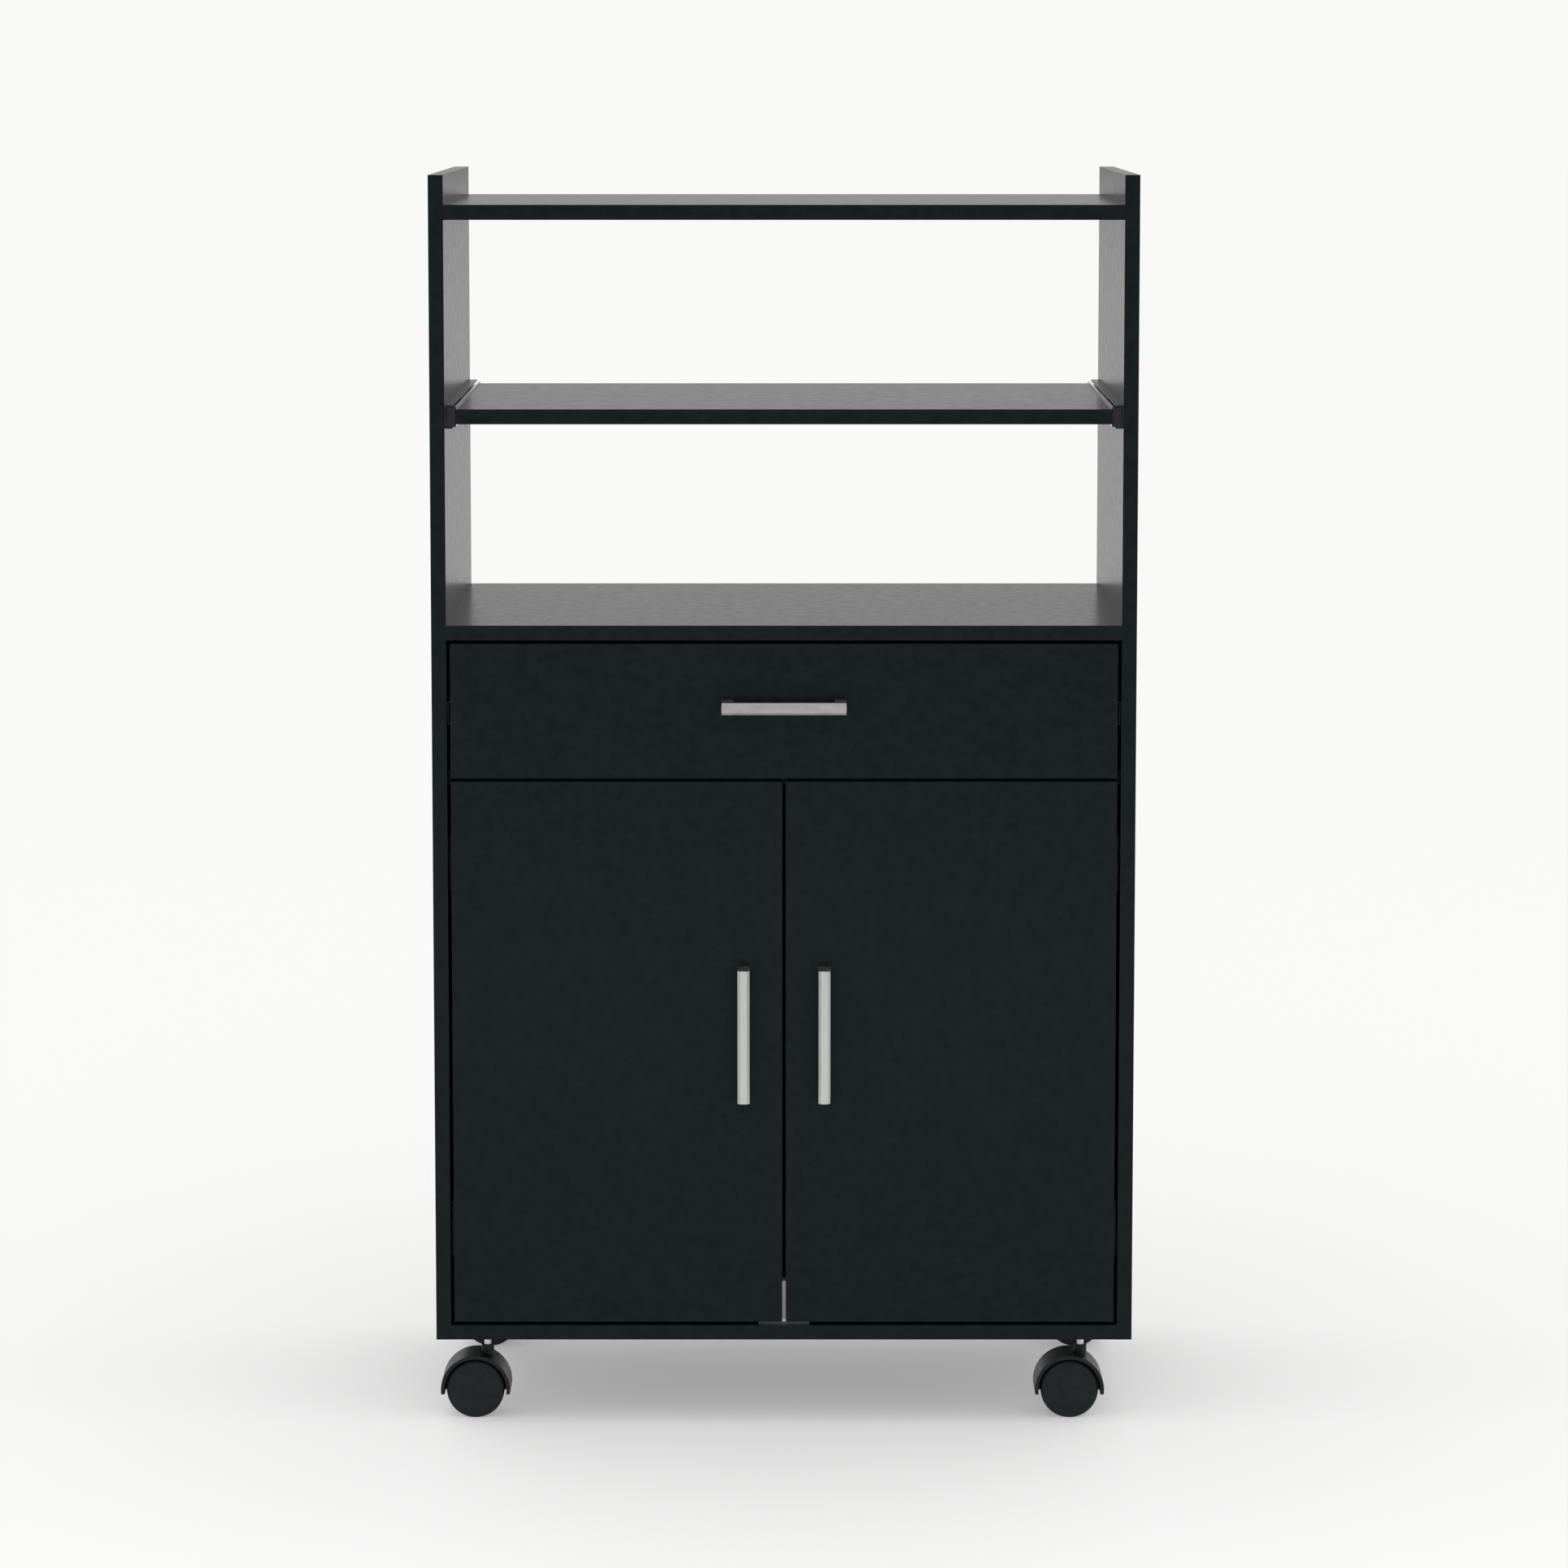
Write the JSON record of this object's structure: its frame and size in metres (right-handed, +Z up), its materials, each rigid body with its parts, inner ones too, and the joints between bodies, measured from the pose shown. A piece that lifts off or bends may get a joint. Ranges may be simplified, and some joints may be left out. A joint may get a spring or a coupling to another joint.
{
  "type": "microwave stand with drawer",
  "caption": "Rolling kitchen stand: open top shelf, pull-out shelf, worktop, drawer over double doors, on casters.",
  "frame": {"origin": "on the floor, under the middle of the stand with its pulls", "axes": "+Z up, +Y to the back, +X to the right as seen from the front"},
  "size_m": [0.6, 0.428, 1.075],
  "materials": {
    "black_laminate": "black laminate on particle board, satin",
    "hardboard": "black-faced hardboard",
    "drawer_board": "black foil-wrapped particle board",
    "satin_nickel": "satin nickel plate",
    "zinc_steel": "bright zinc plate",
    "black_steel": "black coated steel",
    "black_nickel_steel": "black nickel plate",
    "black_plastic": "black moulded nylon",
    "slide_cap_plastic": "black moulded plastic",
    "white_plastic": "white moulded plastic",
    "beech": "fluted beech",
    "black_nylon": "black nylon"
  },
  "bodies": {
    "carcass": {"left_side_panel": "black_laminate", "right_side_panel": "black_laminate", "top_shelf": "black_laminate", "worktop": "black_laminate", "cross_rail": "black_laminate", "bottom_panel": "black_laminate", "back_panel": "hardboard", "inner_shelf": "black_laminate", "shelf_pins": "zinc_steel", "cam_locks": "zinc_steel", "cam_bolts": "zinc_steel", "dowels": "beech", "door_catch": "white_plastic", "pullout_slide_outers": "black_steel", "drawer_slide_outers": "black_steel", "carcass_screws": "zinc_steel", "hinge_arms": "black_nickel_steel", "hinge_plates": "black_nickel_steel", "caster_sockets": "black_plastic", "caster_stems": "zinc_steel"},
    "pull_out": {"pull_out_shelf": "black_laminate", "pullout_slide_inners": "zinc_steel", "pullout_slide_caps": "slide_cap_plastic", "pullout_shelf_screws": "zinc_steel"},
    "shelf_cages": {"pullout_ball_cages": "zinc_steel"},
    "drawer": {"drawer_front": "black_laminate", "drawer_left_side": "drawer_board", "drawer_right_side": "drawer_board", "drawer_back": "drawer_board", "drawer_bottom": "hardboard", "drawer_pull": "satin_nickel", "drawer_pull_screws": "zinc_steel", "drawer_screws": "zinc_steel", "drawer_dowels": "beech", "drawer_slide_inners": "zinc_steel"},
    "drawer_cages": {"drawer_ball_cages": "zinc_steel"},
    "left_door": {"left_door": "black_laminate", "left_door_pull": "satin_nickel", "left_door_screws": "zinc_steel", "left_hinge_cups": "black_nickel_steel", "left_strike_plate": "zinc_steel"},
    "left_links": {"left_hinge_links": "black_nickel_steel"},
    "right_door": {"right_door": "black_laminate", "right_door_pull": "satin_nickel", "right_door_screws": "zinc_steel", "right_hinge_cups": "black_nickel_steel", "right_strike_plate": "zinc_steel"},
    "right_links": {"right_hinge_links": "black_nickel_steel"},
    "front_left_caster": {"front_left_caster_hood": "black_plastic"},
    "front_left_front_wheel": {"front_left_caster_front_wheel": "black_nylon"},
    "front_left_back_wheel": {"front_left_caster_back_wheel": "black_nylon"},
    "front_right_caster": {"front_right_caster_hood": "black_plastic"},
    "front_right_front_wheel": {"front_right_caster_front_wheel": "black_nylon"},
    "front_right_back_wheel": {"front_right_caster_back_wheel": "black_nylon"},
    "rear_left_caster": {"rear_left_caster_hood": "black_plastic"},
    "rear_left_front_wheel": {"rear_left_caster_front_wheel": "black_nylon"},
    "rear_left_back_wheel": {"rear_left_caster_back_wheel": "black_nylon"},
    "rear_right_caster": {"rear_right_caster_hood": "black_plastic"},
    "rear_right_front_wheel": {"rear_right_caster_front_wheel": "black_nylon"},
    "rear_right_back_wheel": {"rear_right_caster_back_wheel": "black_nylon"}
  },
  "joints": [
    {"name": "shelf_slide", "type": "slide", "parent": "carcass", "child": "pull_out", "axis": [0, -1, 0], "range_m": [0, 0.27]},
    {"name": "shelf_cage_slide", "type": "slide", "parent": "carcass", "child": "shelf_cages", "axis": [0, -1, 0], "range_m": [0, 0.135]},
    {"name": "drawer_slide", "type": "slide", "parent": "carcass", "child": "drawer", "axis": [0, -1, 0], "range_m": [0, 0.25]},
    {"name": "drawer_cage_slide", "type": "slide", "parent": "carcass", "child": "drawer_cages", "axis": [0, -1, 0], "range_m": [0, 0.125]},
    {"name": "left_door_hinge", "type": "hinge", "parent": "carcass", "child": "left_door", "pos_m": [-0.2823, -0.182, 0.32555], "axis": [0, 0, -1], "range_deg": [0, 95]},
    {"name": "left_link_pivot", "type": "hinge", "parent": "carcass", "child": "left_links", "pos_m": [-0.2605, -0.1793, 0.32555], "axis": [0, 0, -1], "range_deg": [-43, 0]},
    {"name": "right_door_hinge", "type": "hinge", "parent": "carcass", "child": "right_door", "pos_m": [0.2823, -0.182, 0.32555], "axis": [0, 0, 1], "range_deg": [0, 95]},
    {"name": "right_link_pivot", "type": "hinge", "parent": "carcass", "child": "right_links", "pos_m": [0.2605, -0.1793, 0.32555], "axis": [0, 0, 1], "range_deg": [-43, 0]},
    {"name": "front_left_swivel", "type": "hinge", "parent": "carcass", "child": "front_left_caster", "pos_m": [-0.258, -0.141, 0.061], "axis": [0, 0, 1], "continuous": true},
    {"name": "front_left_front_wheel_spin", "type": "hinge", "parent": "front_left_caster", "child": "front_left_front_wheel", "pos_m": [-0.268, -0.141, 0.025], "axis": [0, 1, 0], "continuous": true},
    {"name": "front_left_back_wheel_spin", "type": "hinge", "parent": "front_left_caster", "child": "front_left_back_wheel", "pos_m": [-0.268, -0.141, 0.025], "axis": [0, 1, 0], "continuous": true},
    {"name": "front_right_swivel", "type": "hinge", "parent": "carcass", "child": "front_right_caster", "pos_m": [0.258, -0.141, 0.061], "axis": [0, 0, 1], "continuous": true},
    {"name": "front_right_front_wheel_spin", "type": "hinge", "parent": "front_right_caster", "child": "front_right_front_wheel", "pos_m": [0.248, -0.141, 0.025], "axis": [0, 1, 0], "continuous": true},
    {"name": "front_right_back_wheel_spin", "type": "hinge", "parent": "front_right_caster", "child": "front_right_back_wheel", "pos_m": [0.248, -0.141, 0.025], "axis": [0, 1, 0], "continuous": true},
    {"name": "rear_left_swivel", "type": "hinge", "parent": "carcass", "child": "rear_left_caster", "pos_m": [-0.258, 0.139, 0.061], "axis": [0, 0, 1], "continuous": true},
    {"name": "rear_left_front_wheel_spin", "type": "hinge", "parent": "rear_left_caster", "child": "rear_left_front_wheel", "pos_m": [-0.26796, 0.13987, 0.025], "axis": [0.0872, 0.9962, 0], "continuous": true},
    {"name": "rear_left_back_wheel_spin", "type": "hinge", "parent": "rear_left_caster", "child": "rear_left_back_wheel", "pos_m": [-0.26796, 0.13987, 0.025], "axis": [0.0872, 0.9962, 0], "continuous": true},
    {"name": "rear_right_swivel", "type": "hinge", "parent": "carcass", "child": "rear_right_caster", "pos_m": [0.258, 0.139, 0.061], "axis": [0, 0, 1], "continuous": true},
    {"name": "rear_right_front_wheel_spin", "type": "hinge", "parent": "rear_right_caster", "child": "rear_right_front_wheel", "pos_m": [0.26796, 0.13813, 0.025], "axis": [-0.0872, -0.9962, 0], "continuous": true},
    {"name": "rear_right_back_wheel_spin", "type": "hinge", "parent": "rear_right_caster", "child": "rear_right_back_wheel", "pos_m": [0.26796, 0.13813, 0.025], "axis": [-0.0872, -0.9962, 0], "continuous": true}
  ],
  "couplings": [
    {"joint": "shelf_cage_slide", "follows": "shelf_slide", "ratio": 0.5},
    {"joint": "drawer_cage_slide", "follows": "drawer_slide", "ratio": 0.5},
    {"joint": "left_link_pivot", "follows": "left_door_hinge", "ratio": -0.4516},
    {"joint": "right_link_pivot", "follows": "right_door_hinge", "ratio": -0.4516}
  ]
}
